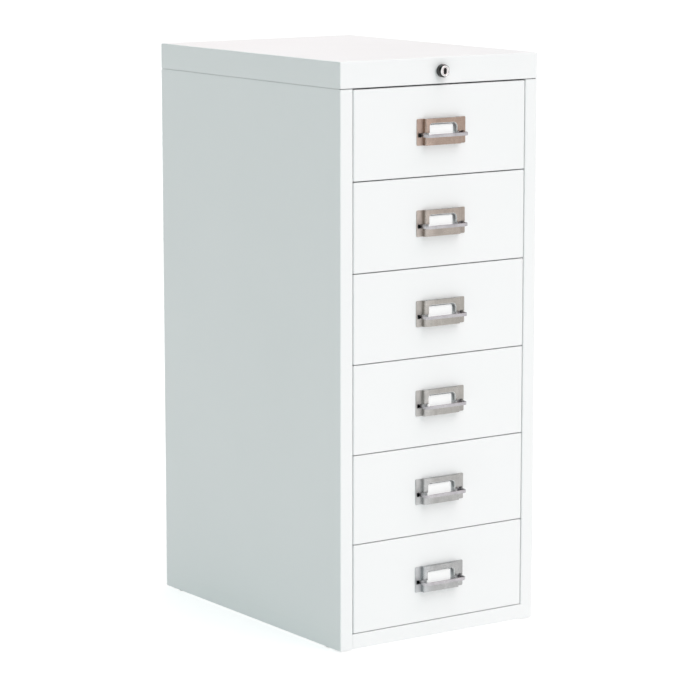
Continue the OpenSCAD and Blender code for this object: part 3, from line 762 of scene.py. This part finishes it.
def rivet_heads():
    bms = []
    for s in (-1, 1):
        for k in range(6):
            z = 40 + 112 * k
            prof = [(0, 0.7), (0.5, 0.7), (0.6, 0.52), (1.1, 0.5), (1.9, 0.62), (2.6, 0.42), (3.0, 0.1), (3.0, 0.0), (1.55, 0.0), (1.55, -2.4), (2.4, -2.6), (2.2, -3.3), (0, -3.4)]
            bms.append(lathe_y(prof, s * (HW - 7), z, YB, 28))
    ob = finish_mesh(join(*bms), "back_rivet_heads", ZINC, "cabinet", sharp=50)
    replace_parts(ob, "back_rivets")


rivet_heads()


# ------------------------------------------------------------------ the CAD nodes that stay

EDGE = {"drawer_%d_tray" % i: 0.25 for i in D}
EDGE.update({"left_runners": 0.25, "right_runners": 0.25, "runner_stops": 0.35, "glide_feet": 0.25, "lock_bar": 0.3, "lock_hooks": 0.3,
             "lock_bar_guides": 0.25, "shaft_bracket": 0.25, "crank_disc": 0.3, "cap_screws": 0.25, "lock_nut": 0.3, "top_pan": 0.25})
EDGE.update({"drawer_%d_strike" % i: 0.25 for i in D})
for name, ob in NODES.items():
    mat = SLOTS[slot_of[name]]
    for ms in ob.material_slots:
        ms.material = mat
    if name in EDGE:
        w = ob.modifiers.new("weld", "WELD")
        w.merge_threshold = 1e-6
        b = ob.modifiers.new("edge", "BEVEL")
        b.width, b.segments, b.limit_method, b.angle_limit = EDGE[name] * MM, 2, "ANGLE", math.radians(50)
        b.use_clamp_overlap = True
        b.harden_normals = True


# ------------------------------------------------------------------ stage and light

def floor():
    bm = bmesh.new()
    bmesh.ops.create_grid(bm, x_segments=4, y_segments=4, size=60.0)
    me = bpy.data.meshes.new("floor")
    bm.to_mesh(me)
    bm.free()
    ob = bpy.data.objects.new("floor", me)
    bpy.context.collection.objects.link(ob)
    mat, nt, bsdf = tree("pale_floor")
    v = coords(nt)
    nt.links.new(blend_colour(nt, noise(nt, v, 1.5, 2.0), (0.398, 0.403, 0.403), (0.394, 0.399, 0.399)), bsdf.inputs["Base Color"])
    bsdf.inputs["Emission Color"].default_value = (1.0, 1.0, 1.0, 1.0)
    bsdf.inputs["Emission Strength"].default_value = 0.70
    bsdf.inputs["Roughness"].default_value = 0.9
    bsdf.inputs["Specular IOR Level"].default_value = 0.1
    me.materials.append(mat)


floor()

world = bpy.data.worlds.new("studio")
bpy.context.scene.world = world
world.use_nodes = True
wt = world.node_tree
wt.nodes.clear()
w_out = wt.nodes.new("ShaderNodeOutputWorld")
w_bg = wt.nodes.new("ShaderNodeBackground")
w_co = wt.nodes.new("ShaderNodeTexCoord")
w_sep = wt.nodes.new("ShaderNodeSeparateXYZ")
w_ramp = wt.nodes.new("ShaderNodeValToRGB")
w_map = wt.nodes.new("ShaderNodeMapRange")
wt.links.new(w_co.outputs["Generated"], w_sep.inputs[0])
w_map.inputs["From Min"].default_value = -1.0
w_map.inputs["From Max"].default_value = 1.0
wt.links.new(w_sep.outputs["X"], w_map.inputs["Value"])
wt.links.new(w_map.outputs["Result"], w_ramp.inputs["Fac"])
STOPS = [(0.0, (0.010, 0.010, 0.010)), (0.2, (0.010, 0.050, 0.040)), (0.36, (0.336, 0.535, 0.532)), (0.62, (1.045, 0.852, 0.861)), (1.0, (0.100, 0.192, 0.195))]
e = w_ramp.color_ramp.elements
e[0].position, e[0].color = STOPS[0][0], (*STOPS[0][1], 1)
e[1].position, e[1].color = STOPS[-1][0], (*STOPS[-1][1], 1)
for at, c in STOPS[1:-1]:
    e.new(at).color = (*c, 1)
wt.links.new(w_ramp.outputs["Color"], w_bg.inputs["Color"])
w_up = wt.nodes.new("ShaderNodeMapRange")
w_up.inputs["To Min"].default_value = 1.0
w_up.inputs["To Max"].default_value = 2.2
wt.links.new(w_sep.outputs["Z"], w_up.inputs["Value"])
wt.links.new(w_up.outputs["Result"], w_bg.inputs["Strength"])
# plain white backdrop wherever the view passes over the floor's far edge
w_white = wt.nodes.new("ShaderNodeBackground")
w_white.inputs["Color"].default_value = (1, 1, 1, 1)
w_path = wt.nodes.new("ShaderNodeLightPath")
w_mix = wt.nodes.new("ShaderNodeMixShader")
wt.links.new(w_path.outputs["Is Camera Ray"], w_mix.inputs[0])
wt.links.new(w_bg.outputs["Background"], w_mix.inputs[1])
wt.links.new(w_white.outputs["Background"], w_mix.inputs[2])
wt.links.new(w_mix.outputs["Shader"], w_out.inputs["Surface"])


def sun(name, direction, strength, size, colour=(1, 1, 1)):
    d = bpy.data.lights.new(name, "SUN")
    d.energy, d.angle, d.color = strength, math.radians(size), colour
    o = bpy.data.objects.new(name, d)
    bpy.context.collection.objects.link(o)
    o.rotation_mode = "QUATERNION"
    o.rotation_quaternion = Vector(direction).normalized().to_track_quat("Z", "Y")
    return o


sun("key", (0.05, -0.55, 0.835), 0.74, 40)

scene = bpy.context.scene
scene.view_settings.view_transform = "Standard"
scene.view_settings.look = "None"
